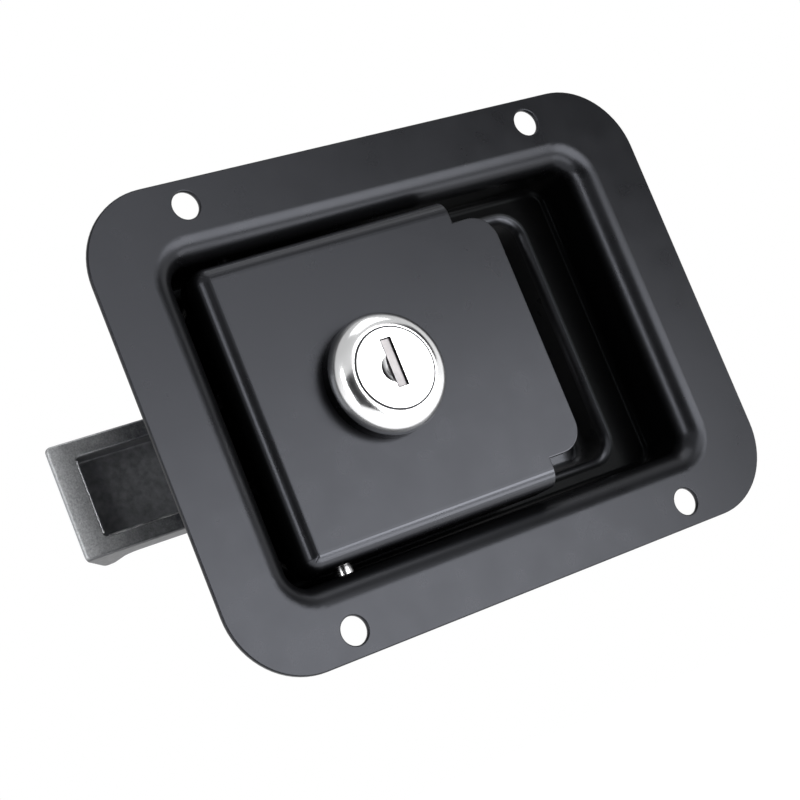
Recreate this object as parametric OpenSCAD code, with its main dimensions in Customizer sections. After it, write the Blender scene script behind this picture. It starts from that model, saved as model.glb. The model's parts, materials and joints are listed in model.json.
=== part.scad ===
// Flush paddle latch for a trailer or camper entry door.
// A drawn steel pan is screwed to the outside of the door. A folded paddle swings in it on a pin,
// a yoke under the paddle draws a sprung slam bolt back, and a key cylinder in the paddle turns a
// cam that holds the paddle shut.
// Everything is drawn in the plate frame: X to the right, Y up the door, Z out of the door, with
// Z = 0 on the back of the flange. as_fitted() then stands it up: Z up and Y into the door.

/* [Flange] */
// Width of the flange
plate_w = 111; // [104:0.5:130]
// Height of the flange
plate_h = 82.5; // [78:0.5:100]
// Corner radius of the flange
plate_r = 13.5; // [9:0.5:16]
// Thickness of the pan's sheet
sheet = 1; // [0.8:0.1:1.3]
// Distance between the screw holes, across
screw_dx = 70.2; // [60:0.2:76]
// Distance between the screw holes, up the door
screw_dy = 73.6; // [72:0.2:75]
// Diameter of the screw holes
screw_d = 4.85; // [4:0.05:5.5]

/* [Recess] */
// Width inside the upper wall
recess_w = 82.6; // [81.4:0.2:86]
// Height inside the upper wall
recess_h = 55.6; // [54.4:0.2:57.4]
// Corner radius of the upper wall
recess_r = 3.5; // [2.5:0.5:5.5]
// Outer radius of the bend from the flange into the recess
rim_r = 4.5; // [3:0.25:5]
// Depth of the ledge below the front of the flange
ledge_depth = 12.4; // [12.2:0.1:14]
// Radius of the bend from the upper wall to the ledge
ledge_r = 1.5; // [1:0.25:2.5]
// Ledge between the upper wall and the bowl, at the right
ledge_right = 8.2; // [6.1:0.1:11]
// Ledge between the upper wall and the bowl, at the left
ledge_left = 4.8; // [4.1:0.1:5.5]
// Ledge between the upper wall and the bowl, top and bottom
ledge_side = 4.6; // [4:0.1:5.6]
// Corner radius of the bowl's wall
bowl_r = 3.5; // [2.5:0.25:4.5]
// Outer radius of the bend from the ledge into the bowl
bowl_rim_r = 2; // [1.5:0.25:2.2]
// Radius of the bend at the bowl's floor
floor_r = 2; // [1:0.25:2.25]
// Depth of the bowl's floor below the front of the flange
floor_depth = 20.2; // [19.8:0.1:20.4]

/* [Hinge] */
// Hinge pin, from the left wall of the recess
pin_from_wall = 11.7; // [11.3:0.1:12.3]
// Hinge pin's depth below the front of the flange
pin_depth = 6.6; // [6.2:0.1:7]
// Diameter of the hinge pin
pin_d = 3.2; // [2.8:0.1:3.6]
// Head of the hinge pin, diameter
pin_head_d = 5.6; // [5:0.1:6.5]
// Wire of the paddle's torsion spring, diameter
paddle_wire_d = 1.2; // [0.8:0.1:1.3]
// Turns of the paddle's torsion spring
paddle_turns = 5; // [3:1:6]

/* [Paddle] */
// Gap between the cover's folded sides and the recess
side_gap = 1.4; // [0.9:0.1:1.9]
// Gap between the cover's hinged end and the recess
back_gap = 2.8; // [2.4:0.1:3.5]
// Room for the fingers between the tongue and the recess
finger_gap = 23.4; // [21.1:0.1:26]
// Length of the finger tongue past the cover's folded sides
tongue_len = 7.6; // [6:0.1:9]
// Height of the finger tongue
tongue_h = 43.6; // [38:0.2:46]
// Corner radius of the finger tongue
tongue_r = 4.5; // [2:0.25:7]
// Thickness of the cover
paddle_t = 1.2; // [1:0.1:1.5]
// Outer radius of the cover's bends
paddle_bend_r = 3; // [1.6:0.1:3.4]
// Front of the cover above the hinge pin
paddle_rise = 7.4; // [7.2:0.1:7.8]
// Tilt of the closed paddle, free end out
paddle_tilt = 3; // [2.6:0.1:3.4]
// Lowest point of the folded sides at the free end, below the pin
skirt_front_drop = 1.8; // [0.5:0.1:3]
// Lowest point of the folded sides at the hinged end, below the pin
skirt_back_drop = 0.5; // [0:0.1:0.6]
// Radius of the ears round the hinge pin
ear_r = 4.2; // [3.6:0.1:4.6]

/* [Drive yoke] */
// Thickness of the yoke's steel
yoke_t = 2; // [1.5:0.1:2]
// How far the middle of the arm's tip lies in the bolt's pocket
arm_in = 2.4; // [2.2:0.1:2.6]
// Radius of the arm's round tip
arm_tip_r = 2.4; // [2:0.1:2.6]

/* [Key cylinder] */
// Axis of the cylinder, from the hinge pin
lock_from_pin = 15.7; // [15.2:0.1:16.2]
// Diameter of the domed bezel
bezel_d = 20.7; // [20:0.1:21.5]
// Height of the bezel's straight side
bezel_side = 2.4; // [1.5:0.1:3]
// Radius of the bezel's dome
dome_r = 3.6; // [3.2:0.1:3.9]
// Diameter of the threaded barrel
barrel_d = 16; // [15.6:0.1:16.4]
// Width over the barrel's flats
barrel_flats = 14; // [13.4:0.1:14.6]
// Diameter of the plug's head
head_d = 14.1; // [13.8:0.1:14.3]
// Diameter of the plug
plug_d = 11.2; // [10.8:0.1:11.4]
// Width of the key slot
key_w = 2; // [1.6:0.1:2.3]
// Height of the key slot
key_h = 8.4; // [7.6:0.1:8.6]
// Thickness of the plug's cap
cap_t = 1.1; // [1.05:0.05:1.2]
// Thickness of a wafer
wafer_t = 1; // [0.8:0.05:1.1]
// Distance from wafer to wafer
wafer_pitch = 2.6; // [2.4:0.1:3]

/* [Cam] */
// Reach of the cam from the cylinder's axis
cam_len = 12.6; // [12.3:0.1:12.9]
// Width of the cam
cam_w = 8; // [7:0.1:8.6]
// Thickness of the cam
cam_t = 1.8; // [1.5:0.1:1.9]

/* [Bolt] */
// How far the bolt sticks out of its guide
bolt_out = 24.3; // [23.8:0.1:28]
// Height of the bolt, up the door
bolt_w = 20; // [19:0.1:20.2]
// Thickness of the bolt's body
bolt_t = 8; // [7:0.1:8.4]
// Thickness of the bolt's nose
nose_t = 15.5; // [13:0.1:17]
// Length of the nose along the bolt
nose_len = 10.6; // [9.5:0.1:12]
// From the back of the pan's floor to the bolt's front
bolt_under_floor = 5; // [4.9:0.1:6]
// Wall round the bolt's pocket, top and bottom
pocket_wall = 3; // [2.8:0.1:3.1]
// Wall between the bolt's tip and its pocket
pocket_tip_wall = 4.4; // [3.5:0.1:6]
// Depth of the bolt's pocket
pocket_depth = 5.6; // [5.4:0.1:6]
// Length of the bolt's tail behind its pocket
tail_len = 7.4; // [6.6:0.1:7.6]
// Diameter of the bolt's rod
rod_d = 3; // [2.6:0.1:3.2]
// Wire of the bolt's spring, diameter
bolt_wire_d = 1; // [0.8:0.1:1.1]
// Turns of the bolt's spring
bolt_turns = 10; // [7:1:12]
// Length of the bolt's spring with the bolt out
bolt_spring_len = 29.5; // [27:0.5:34]

/* [Bolt guide] */
// Thickness of the guide's steel
guide_t = 1.5; // [1.2:0.1:1.6]
// How far the guide reaches past the floor's opening, towards the bolt's tip
guide_past_opening = 5; // [4.6:0.1:5.4]
// Height over the guide's two riveted flanges
guide_h = 42; // [40:0.2:43]
// Diameter of the rivets
rivet_d = 3.2; // [2.6:0.1:3.6]

/* [Hidden] */
$fn = 64;

// Clearances
run_fit = 0.05;      // round a pin or shaft that turns or slides
fixed_fit = 0.02;    // round a pin that is fixed in its hole
seat_gap = 0.3;      // between pieces that stop on each other
guide_gap = 0.25;    // round the bolt in its window

// How far the shapes that others are cut from run past them
spare = 20;

// Colours
BLACK = "#2b2c2e";
STEEL = "#a4a6a8";
CHROME = "#dcdee0";
ZINC = "#85878a";
BRASS = "#b59a55";

// Levels of the pan, from the back of the flange
ledge_z = sheet - ledge_depth;
floor_z = sheet - floor_depth;
floor_back = floor_z - sheet;
pin_x = pin_from_wall - recess_w / 2;
pin_z = sheet - pin_depth;
bowl_right = recess_w / 2 - ledge_right;
bowl_left = recess_w / 2 - ledge_left;
bowl_h = recess_h - 2 * ledge_side;
bowl_x = (bowl_right - bowl_left) / 2;
bowl_half = (bowl_right + bowl_left) / 2;
bend_lap = 0.2;

// Hinge
pin_r = pin_d / 2;
wall_out = recess_h / 2 + sheet;
clip_t = 0.8;
clip_edge = 1.5;
pin_head_t = 1.2;
// Room between the recess wall and the pin's head or clip, which keeps them out of the bend above them
pin_end_gap = 0.5;
clip_groove = 0.4;

// Paddle, from the hinge pin
skirt_y = recess_h / 2 - side_gap;
paddle_back = pin_from_wall - back_gap;
tongue_end = recess_w - pin_from_wall - finger_gap;
paddle_front = tongue_end - tongue_len;
face_under = paddle_rise - paddle_t;
// Left end of the flat under the cover, where the bend begins
flat_left = paddle_bend_r - paddle_back;

// Bolt's levels and its rod
bolt_front = floor_back - bolt_under_floor;
bolt_back = bolt_front - bolt_t;
nose_back = bolt_front - nose_t;
bolt_half = bolt_w / 2;
rod_r = rod_d / 2;
rod_under_front = 4.8;
rod_z = bolt_front - rod_under_front;
bolt_coil_r = rod_r + bolt_wire_d / 2 + 0.4;
bolt_spring_top = rod_z + bolt_coil_r + bolt_wire_d / 2;

// Arms
arm_len = pin_z - bolt_front + arm_in;
arm_half = arm_tip_r + (ear_r - arm_tip_r) * (arm_len - pin_z + floor_z) / arm_len;
yoke_w = bolt_w - 2 * pocket_wall - 0.8;
web_left = flat_left + 0.1;
web_right = 3;

// Key cylinder, measured along its axis from the front of the cover
barrel_r = barrel_d / 2;
bezel_r = bezel_d / 2;
head_r = head_d / 2;
plug_r = plug_d / 2;
bezel_top = bezel_side + dome_r;
head_top = bezel_top + 0.15;
head_floor = 0.2;
cap_skirt = 0.4;
cap_skirt_len = 2.4;
key_x = 0.15;
key_y = 0.9;
nut_t = 4;
nut_flats = 20;
lock_washer_t = 0.8;
lock_washer_r = 10.4;

// Shutter behind the key slot, hinged on a pin at the slot's right
shutter_t = 0.4;
shutter_pin_r = 0.4;
knuckle_r = 0.65;
shutter_x = 2.2;
shutter_z = head_top - cap_t - knuckle_r - 0.05;
shutter_left = key_x - key_w / 2 - 0.25;
shutter_half = key_h / 2 + 0.2;
// The step on the shutter fills the slot's mouth. Its left end must swing past the slot's left side.
step_h = 0.6;
step_x = [key_x - key_w / 2 + 0.35, key_x + key_w / 2 - 0.15];
step_half = key_h / 2 - 0.15;
chamber_left = shutter_left - 0.3;
chamber_right = shutter_x + knuckle_r + 0.15;
chamber_half = shutter_half + 0.2;
chamber_floor = shutter_z - (shutter_x - shutter_left) - 0.3;
knuckle_gap = 2;

// Wafers
WAFER_SHIFTS = [0.2, -0.3, 0.35, -0.1, 0.1];
wafer_w = 5;
wafer_gap = 0.05;
wafer_first = -3;
wafer_pocket = 1.5;
wafer_hole_h = 6.8;
wafer_ear_h = 1;

// Cam
stub_r = 3.2;
stub_flats = 4.8;
cam_washer_t = 0.5;
screw_r = 1.65;
screw_head_r = 3.4;
screw_head_t = 1.8;
screw_len = 8;

// The barrel is as long as the bolt's spring lets it be: the cam's screw clears the spring by this gap
lock_spring_gap = 0.6;
screw_low = (bolt_spring_top + lock_spring_gap - pin_z - (lock_from_pin - screw_head_r) * sin(paddle_tilt)) / cos(paddle_tilt);
barrel_len = paddle_rise - screw_low - screw_head_t - cam_washer_t - cam_t - seat_gap;
cam_top = -barrel_len - seat_gap;
cam_under = cam_top - cam_t;

// Floor opening that the arms, the cylinder and the cam pass through
cam_swing_r = norm([lock_from_pin + cam_len, paddle_rise + cam_under]);
opening_left = pin_x - arm_half - seat_gap;
opening_right = pin_x + sqrt(pow(cam_swing_r, 2) - pow(pin_z - floor_z, 2)) + 1.6;

// Bolt, along its slide
guide_left = guide_past_opening - opening_left;
bolt_tip = guide_left + bolt_out;
nose_end = -bolt_tip + nose_len;
pocket_end = pin_x + arm_tip_r + seat_gap;
bolt_tail = -pocket_end - tail_len;
rod_grip = tail_len * 0.75;
rod_groove_r = rod_r - clip_groove;
bolt_corner_r = 1;

// Bolt guide
guide_right = bolt_spring_len + guide_t - bolt_tail;
wall_in_y = bolt_half + 0.4;
wall_out_y = wall_in_y + guide_t;
opening_half = wall_in_y - 0.9;
guide_floor = bolt_back - 0.5;
guide_under = guide_floor - guide_t;
guide_top = floor_back - seat_gap;
flange_under = floor_back - guide_t;
flange_left = pin_x - 0.4;
flange_right = opening_right - 0.5;
rivet_edge = 4.5;
rivet_xs = [flange_left + rivet_edge, flange_right - rivet_edge];
rivet_y = (wall_out_y + guide_h / 2) / 2;
rivet_r = rivet_d / 2;
rod_past_guide = 5.5;
rod_end = guide_right + rod_past_guide;

// Where the cylinder's axis meets the cam's upper face, in the plate frame
lock_drop = paddle_rise + cam_top;
lock_x_at_cam = pin_x + lock_from_pin * cos(paddle_tilt) - lock_drop * sin(paddle_tilt);

module as_fitted() {
    rotate([90, 0, 0]) children();
}

// The closed paddle's own frame: origin on the pin, Z out of the cover
module on_paddle() {
    translate([pin_x, 0, pin_z]) rotate([0, -paddle_tilt, 0]) children();
}

// The key cylinder's frame: origin where its axis leaves the cover's front
module on_lock() {
    on_paddle() translate([lock_from_pin, 0, paddle_rise]) children();
}

// A flat shape drawn in Y and Z, extruded from x0 to x1
module x_prism(x0, x1) {
    translate([x0, 0, 0]) rotate([90, 0, 90]) linear_extrude(x1 - x0) children();
}

// A flat shape drawn in X and Z, extruded from y0 to y1
module y_prism(y0, y1) {
    translate([0, y1, 0]) rotate([90, 0, 0]) linear_extrude(y1 - y0) children();
}

// A flat shape drawn in X and Y, extruded from z0 to z1
module z_prism(z0, z1) {
    translate([0, 0, z0]) linear_extrude(z1 - z0) children();
}

module block(x, y, z) {
    translate([x[0], y[0], z[0]]) cube([x[1] - x[0], y[1] - y[0], z[1] - z[0]]);
}

module x_rod(r, x0, x1) {
    translate([x0, 0, 0]) rotate([0, 90, 0]) cylinder(r = r, h = x1 - x0);
}

module y_rod(r, y0, y1) {
    translate([0, y1, 0]) rotate([90, 0, 0]) cylinder(r = r, h = y1 - y0);
}

module rounded_rect(hw, hh, r) {
    square([2 * hw, 2 * (hh - r)], center = true);
    square([2 * (hw - r), 2 * hh], center = true);
    for (sx = [-1, 1], sy = [-1, 1])
        translate([sx * (hw - r), sy * (hh - r)]) circle(r);
}

// A quarter of a ring: the quadrant from a to a + 90 degrees
module quarter_ring(at, r_out, r_in, a) {
    translate(at) rotate(a) intersection() {
        difference() {
            circle(r_out);
            circle(r_in);
        }
        square(r_out + 1);
    }
}

// Sweeps a section round a rounded rectangle. The section's X is the distance from the corner's centre.
module swept_wall(hw, hh, r) {
    for (i = [0:3]) {
        across = i % 2 == 0 ? hw - r : hh - r;
        along = i % 2 == 0 ? hh - r : hw - r;
        rotate(90 * i) {
            translate([across, along, 0]) rotate_extrude(angle = 90) children();
            translate([across, along, 0]) rotate([90, 0, 0]) linear_extrude(2 * along) children();
        }
    }
}

// A bend out of the upper level, a straight wall and a bend into the lower level. Past each bend the
// section runs on into the flat sheet.
module wall_section(r, top, bottom, top_r, bottom_r) {
    quarter_ring([r + top_r, top - top_r], top_r, top_r - sheet, 90);
    translate([r + top_r, top - sheet]) square([bend_lap, sheet]);
    translate([r, bottom + bottom_r]) square([sheet, top - top_r - bottom - bottom_r]);
    quarter_ring([r - bottom_r, bottom + bottom_r], bottom_r + sheet, bottom_r, 270);
    translate([r - bottom_r - bend_lap, bottom - sheet]) square([bend_lap, sheet]);
}

module recess_wall() {
    swept_wall(recess_w / 2, recess_h / 2, recess_r)
        wall_section(recess_r, sheet, ledge_z, rim_r, ledge_r);
}

module bowl_wall() {
    translate([bowl_x, 0, 0]) swept_wall(bowl_half, bowl_h / 2, bowl_r)
        wall_section(bowl_r, ledge_z, floor_z, bowl_rim_r, floor_r);
}

module flange() {
    z_prism(0, sheet) difference() {
        rounded_rect(plate_w / 2, plate_h / 2, plate_r);
        rounded_rect(recess_w / 2 + rim_r, recess_h / 2 + rim_r, recess_r + rim_r);
        for (sx = [-1, 1], sy = [-1, 1])
            translate([sx * screw_dx / 2, sy * screw_dy / 2]) circle(d = screw_d);
    }
}

module ledge() {
    z_prism(ledge_z - sheet, ledge_z) difference() {
        rounded_rect(recess_w / 2 - ledge_r, recess_h / 2 - ledge_r, recess_r - ledge_r);
        translate([bowl_x, 0])
            rounded_rect(bowl_half + bowl_rim_r, bowl_h / 2 + bowl_rim_r, bowl_r + bowl_rim_r);
    }
}

module bowl_floor() {
    z_prism(floor_back, floor_z) difference() {
        translate([bowl_x, 0])
            rounded_rect(bowl_half - floor_r, bowl_h / 2 - floor_r, bowl_r - floor_r);
        translate([(opening_left + opening_right) / 2, 0])
            rounded_rect((opening_right - opening_left) / 2, opening_half, 2);
        for (x = rivet_xs, s = [-1, 1])
            translate([x, s * rivet_y]) circle(rivet_r + fixed_fit);
    }
}

module pan() {
    color(BLACK) as_fitted() difference() {
        union() {
            flange();
            recess_wall();
            ledge();
            bowl_wall();
            bowl_floor();
        }
        translate([pin_x, 0, pin_z]) y_rod(pin_r + fixed_fit, -wall_out - 1, wall_out + 1);
    }
}

module bolt_guide() {
    color(STEEL) as_fitted() difference() {
        union() {
            difference() {
                block([-guide_left, guide_right], [-wall_out_y, wall_out_y], [guide_under, guide_top]);
                block([-guide_left + guide_t, guide_right - guide_t], [-wall_in_y, wall_in_y],
                      [guide_floor, guide_top + 1]);
            }
            for (s = [-1, 1])
                block([flange_left, flange_right], s > 0 ? [wall_in_y, guide_h / 2] : [-guide_h / 2, -wall_in_y],
                      [flange_under, floor_back]);
        }
        // Window for the bolt
        block([-guide_left - 1, -guide_left + guide_t + 1], [-bolt_half - guide_gap, bolt_half + guide_gap],
              [bolt_back - guide_gap, bolt_front + guide_gap]);
        // Hole for the rod
        translate([0, 0, rod_z]) x_rod(rod_r + run_fit, guide_right - guide_t - 1, guide_right + 1);
        // Slot that the locked cam reaches into
        block([lock_x_at_cam - cam_w / 2 - 0.6, lock_x_at_cam + sqrt(pow(cam_len, 2) - pow(wall_in_y, 2)) + 0.6],
              [-wall_out_y - 1, -wall_in_y + 1], [cam_slot_floor, flange_under]);
        for (x = rivet_xs, s = [-1, 1])
            translate([x, s * rivet_y, flange_under - 1]) cylinder(r = rivet_r + fixed_fit, h = guide_t + 2);
    }
}
// Lowest point of the cam's slot, below the cam's under face at its lowest edge
cam_slot_floor = pin_z + (paddle_rise + cam_under) * cos(paddle_tilt) + (lock_from_pin - cam_w) * sin(paddle_tilt) - 0.5;

module guide_rivets() {
    head_r = 2.8;
    head_t = 1.3;
    tail_r = 2.4;
    tail_t = 1.2;
    color(STEEL) as_fitted()
        for (x = rivet_xs, s = [-1, 1])
            translate([x, s * rivet_y, 0]) rotate_extrude() {
                translate([0, flange_under - tail_t]) square([tail_r, tail_t]);
                translate([0, flange_under - 0.1]) square([rivet_r, floor_z - flange_under + 0.2]);
                translate([0, floor_z]) intersection() {
                    translate([0, head_t - dome(head_r, head_t)]) circle(dome(head_r, head_t));
                    square([head_r, head_t]);
                }
            }
}
// Radius of a sphere whose cap has the base radius r and the height h
function dome(r, h) = (r * r + h * h) / (2 * h);

module hinge_pin() {
    color(STEEL) as_fitted() translate([pin_x, 0, pin_z]) difference() {
        union() {
            y_rod(pin_r, -wall_out - 2.4, wall_out + pin_end_gap + 0.1);
            y_rod(pin_head_d / 2, wall_out + pin_end_gap, wall_out + pin_end_gap + pin_head_t);
        }
        difference() {
            y_rod(pin_r + 1, -wall_out - pin_end_gap - clip_t - 0.05, -wall_out - pin_end_gap + 0.05);
            y_rod(pin_r - clip_groove, -wall_out - 2, -wall_out);
        }
    }
}

// A flat spring clip for a grooved pin, drawn round the origin with its mouth towards +X
module clip_shape(groove_r, out_r) {
    difference() {
        circle(out_r);
        circle(groove_r + fixed_fit);
        translate([0, -groove_r * 0.9]) square([out_r + 1, groove_r * 1.8]);
        for (a = [120, 240])
            rotate(a) translate([groove_r + 0.5, 0]) circle(groove_r * 0.6);
    }
}

module hinge_pin_clip() {
    color(STEEL) as_fitted() translate([pin_x, 0, pin_z])
        y_prism(-wall_out - pin_end_gap - clip_t, -wall_out - pin_end_gap)
            clip_shape(pin_r - clip_groove, pin_r + clip_edge);
}

// A wire along points. Each ring stands across the path, and its second side lies along axis.
module wire(points, r, sides, axis) {
    n = len(points);
    rings = [for (i = [0:n - 1])
        let (t = unit(points[min(i + 1, n - 1)] - points[max(i - 1, 0)]),
             b = unit(axis - (axis * t) * t),
             c = cross(t, b))
        for (k = [0:sides - 1])
            points[i] + r * cos(360 * k / sides) * b + r * sin(360 * k / sides) * c];
    skin = [for (i = [0:n - 2], k = [0:sides - 1], half = [0, 1])
        half == 0 ? [i * sides + k, (i + 1) * sides + k, (i + 1) * sides + (k + 1) % sides]
                  : [i * sides + k, (i + 1) * sides + (k + 1) % sides, i * sides + (k + 1) % sides]];
    start = [for (k = [0:sides - 1]) k];
    end = [for (k = [sides - 1:-1:0]) (n - 1) * sides + k];
    polyhedron(points = rings, faces = concat([start], skin, [end]), convexity = 10);
}
function unit(v) = v / norm(v);

// A coil along X from x0 to x1
function coil(x0, x1, r, turns, steps, a0 = 0) = [for (i = [0:turns * steps])
    let (a = a0 + 360 * i / steps) [x0 + (x1 - x0) * i / (turns * steps), r * cos(a), r * sin(a)]];

// Torsion spring on the hinge pin: one leg presses under the cover left of the pin, the other on the floor
module paddle_spring() {
    wire_r = paddle_wire_d / 2;
    coil_r = pin_r + wire_r + 0.7;
    leg_gap = 0.2;
    floor_leg_len = 9.5;
    y0 = yoke_w / 2 + 1.5;
    pitch = paddle_wire_d + 0.15;
    y1 = y0 + pitch * paddle_turns;
    steps = 18;
    // Angles about the pin, from +X towards +Z, where the legs leave the coil
    cover_a = 60;
    floor_a = 75;
    sweep = 360 * paddle_turns + floor_a - cover_a;
    n = round(steps * sweep / 360);
    leg_x = flat_left + leg_gap;
    cover_leg = [leg_x, y0, (face_under + leg_x * sin(paddle_tilt)) * cos(paddle_tilt) - wire_r - 1.5 * leg_gap];
    floor_leg = [floor_leg_len, y1, floor_z - pin_z + wire_r + leg_gap];
    turns = [for (i = [0:n])
        let (a = cover_a - sweep * i / n)
        [coil_r * cos(a), y0 + (y1 - y0) * i / n, coil_r * sin(a)]];
    color(STEEL) as_fitted() translate([pin_x, 0, pin_z])
        wire(concat([cover_leg], turns, [floor_leg]), wire_r, 8, [0, 1, 0]);
}

// Section of the folded cover, open below
module cover_section(hw, top, r) {
    translate([-hw, -spare]) square([2 * hw, spare + top - r]);
    translate([-hw + r, -spare]) square([2 * (hw - r), spare + top]);
    for (s = [-1, 1]) translate([s * (hw - r), top - r]) circle(r);
}

// Side view of the cover's hinged end, reaching to the right
module cover_side(back, top, r) {
    translate([-back, -spare]) square([back + paddle_front + spare, spare + top - r]);
    translate([-back + r, -spare]) square([back - r + paddle_front + spare, spare + top]);
    translate([-back + r, top - r]) circle(r);
}

module skirt_outline() {
    polygon([[-paddle_back - 1, -skirt_back_drop], [-ear_r * 0.95, -skirt_back_drop - 1], [ear_r, -ear_r * 0.75],
             [paddle_front, -skirt_front_drop], [paddle_front, paddle_rise + 1], [-paddle_back - 1, paddle_rise + 1]]);
    circle(ear_r);
}

module paddle() {
    inner_r = paddle_bend_r - paddle_t;
    color(BLACK) as_fitted() on_paddle() difference() {
        union() {
            intersection() {
                x_prism(-paddle_back, paddle_front) cover_section(skirt_y, paddle_rise, paddle_bend_r);
                y_prism(-skirt_y, skirt_y) cover_side(paddle_back, paddle_rise, paddle_bend_r);
                y_prism(-skirt_y, skirt_y) skirt_outline();
            }
            z_prism(face_under, paddle_rise) {
                translate([paddle_front - tongue_r, -tongue_h / 2]) square([tongue_end - paddle_front, tongue_h]);
                translate([paddle_front, -tongue_h / 2 + tongue_r])
                    square([tongue_end - paddle_front, tongue_h - 2 * tongue_r]);
                for (s = [-1, 1])
                    translate([tongue_end - tongue_r, s * (tongue_h / 2 - tongue_r)]) circle(tongue_r);
            }
        }
        intersection() {
            x_prism(-paddle_back + paddle_t, paddle_front + 1) cover_section(skirt_y - paddle_t, face_under, inner_r);
            y_prism(-skirt_y, skirt_y) cover_side(paddle_back - paddle_t, face_under, inner_r);
        }
        y_rod(pin_r + run_fit, -skirt_y - 1, skirt_y + 1);
        translate([lock_from_pin, 0, face_under - 1]) barrel_shape(paddle_t + 2, 0.1);
    }
}

// The barrel's outline, a circle with two flats, grown by gap
module barrel_shape(h, gap) {
    intersection() {
        cylinder(r = barrel_r + gap, h = h);
        translate([-barrel_flats / 2 - gap, -barrel_r - 1, -1]) cube([barrel_flats + 2 * gap, barrel_d + 2, h + 2]);
    }
}

// Folded yoke welded under the cover: two arms ride on the pin and reach down into the bolt's pocket
module drive_yoke() {
    tip = [-arm_len * sin(paddle_tilt), -arm_len * cos(paddle_tilt)];
    half = yoke_w / 2;
    bend = yoke_t + 0.5;
    color(STEEL) as_fitted() on_paddle() difference() {
        union() {
            for (s = [-1, 1])
                y_prism(s > 0 ? half - yoke_t : -half, s > 0 ? half : -half + yoke_t) {
                    circle(ear_r);
                    translate(tip) circle(arm_tip_r);
                    polygon([[-ear_r, 0], [tip[0] - arm_tip_r, tip[1]], [tip[0] + arm_tip_r, tip[1]], [ear_r, 0]]);
                    polygon([[-ear_r, 0], [ear_r, 0], [web_right, face_under - bend], [web_left, face_under - bend]]);
                }
            x_prism(web_left, web_right) difference() {
                cover_part(half, face_under, bend, face_under - bend - 0.5);
                cover_part(half - yoke_t, face_under - yoke_t, bend - yoke_t, -1);
            }
        }
        y_rod(pin_r + run_fit, -half - 1, half + 1);
    }
}

// A rounded-top section from bottom to top
module cover_part(hw, top, r, bottom) {
    translate([-hw, bottom]) square([2 * hw, top - r - bottom]);
    translate([-hw + r, bottom]) square([2 * (hw - r), top - bottom]);
    for (s = [-1, 1]) translate([s * (hw - r), top - r]) circle(r);
}

module lock_body() {
    groove_w = wafer_w + 0.4;
    groove_r = plug_r + 0.9;
    color(CHROME) as_fitted() on_lock() difference() {
        union() {
            translate([0, 0, -barrel_len]) barrel_shape(barrel_len + 0.5, 0);
            cylinder(r = bezel_r, h = bezel_side);
            rotate_extrude() {
                translate([bezel_r - dome_r, bezel_side]) circle(dome_r);
                square([bezel_r - dome_r, bezel_top]);
            }
        }
        translate([0, 0, head_floor]) cylinder(r = head_r + run_fit, h = bezel_top);
        translate([0, 0, -barrel_len - 1]) cylinder(r = plug_r + run_fit, h = barrel_len + 3);
        // The rounded section's lower half, below the cover's front
        difference() {
            translate([0, 0, -dome_r - 1]) cylinder(r = bezel_r + 1, h = dome_r + 1);
            translate([0, 0, -dome_r - 2]) barrel_shape(dome_r + 3, 0);
        }
        // Grooves that the wafers spring into
        intersection() {
            block([-groove_w / 2, groove_w / 2], [-groove_r, groove_r], [wafer_last - 1.2, wafer_first + 1.2]);
            translate([0, 0, -barrel_len]) cylinder(r = groove_r, h = barrel_len);
        }
    }
}
wafer_last = wafer_first - 4 * wafer_pitch;

module lock_washer() {
    teeth = 12;
    color(STEEL) as_fitted() on_lock() translate([0, 0, -paddle_t - lock_washer_t])
        linear_extrude(lock_washer_t) difference() {
            circle(lock_washer_r);
            circle(barrel_r + 0.1);
            for (i = [0:teeth - 1])
                rotate(360 * i / teeth) translate([lock_washer_r, 0]) circle(0.9);
        }
}

module lock_nut() {
    color(BRASS) as_fitted() on_lock() translate([0, 0, -paddle_t - lock_washer_t - nut_t]) difference() {
        intersection() {
            cylinder(d = nut_flats / cos(30), h = nut_t, $fn = 6);
            // Chamfered corners
            cylinder(r1 = nut_flats / 2 + 0.3, r2 = nut_flats / 2 + 0.3 + nut_t, h = nut_t);
        }
        translate([0, 0, -1]) cylinder(r = barrel_r + run_fit, h = nut_t + 2);
    }
}

function wafer_z(i) = wafer_first - (i - 1) * wafer_pitch;

module wafer_slots() {
    half_t = wafer_t / 2 + wafer_gap;
    for (i = [1:5]) {
        block([-wafer_w / 2 - wafer_gap, wafer_w / 2 + wafer_gap], [-plug_r - 1, plug_r + 1],
              [wafer_z(i) - half_t, wafer_z(i) + half_t]);
        block([wafer_w / 2, wafer_w / 2 + wafer_pocket], [-2.7, 2.7],
              [wafer_z(i) - half_t - 0.1, wafer_z(i) + half_t + 0.1]);
    }
}

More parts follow.
